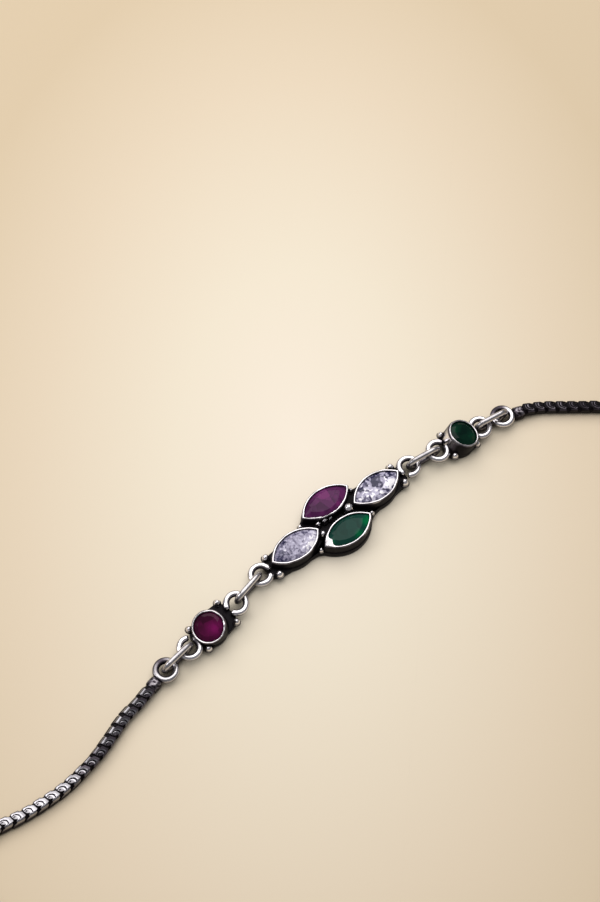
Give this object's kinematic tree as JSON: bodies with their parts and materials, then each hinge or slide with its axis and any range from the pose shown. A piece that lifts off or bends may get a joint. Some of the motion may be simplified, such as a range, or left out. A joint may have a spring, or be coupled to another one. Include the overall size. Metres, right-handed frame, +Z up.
{
  "type": "payal anklet",
  "caption": "Closed silver ankle chain lying flat: a bezel-set centre of parallel marquise stones, two round side settings, upright jump links, woven snake chain and an S-hook.",
  "frame": {"origin": "centre of the bounding box's underside, on the surface that the anklet lies on", "axes": "+X along the centre setting, which is close to the length of the lying loop; +Z up, away from the surface"},
  "size_m": [0.1194, 0.0724, 0.0041],
  "materials": {
    "silver": "hand-worked silver, bright on the high places and oxidised dark in the recesses",
    "oxidised_silver": "woven silver strip, oxidised",
    "clear_stone": "faceted clear stone with a lavender cast",
    "violet_stone": "faceted violet-red stone",
    "red_stone": "faceted dark red stone",
    "green_stone": "faceted dark green stone"
  },
  "bodies": {
    "root": {"centre_setting": "silver", "marquise_clear_left": "clear_stone", "marquise_ruby": "violet_stone", "marquise_emerald": "green_stone", "marquise_clear_right": "clear_stone", "ruby_setting": "silver", "round_ruby": "red_stone", "emerald_setting": "silver", "round_emerald": "green_stone", "link_1": "silver", "link_2": "silver", "link_3": "silver", "link_4": "silver", "left_front_ring": "silver", "right_front_ring": "silver", "left_back_ring": "silver", "right_back_ring": "silver", "left_chain": "oxidised_silver", "right_chain": "oxidised_silver", "s_hook_clasp": "silver"}
  },
  "joints": []
}
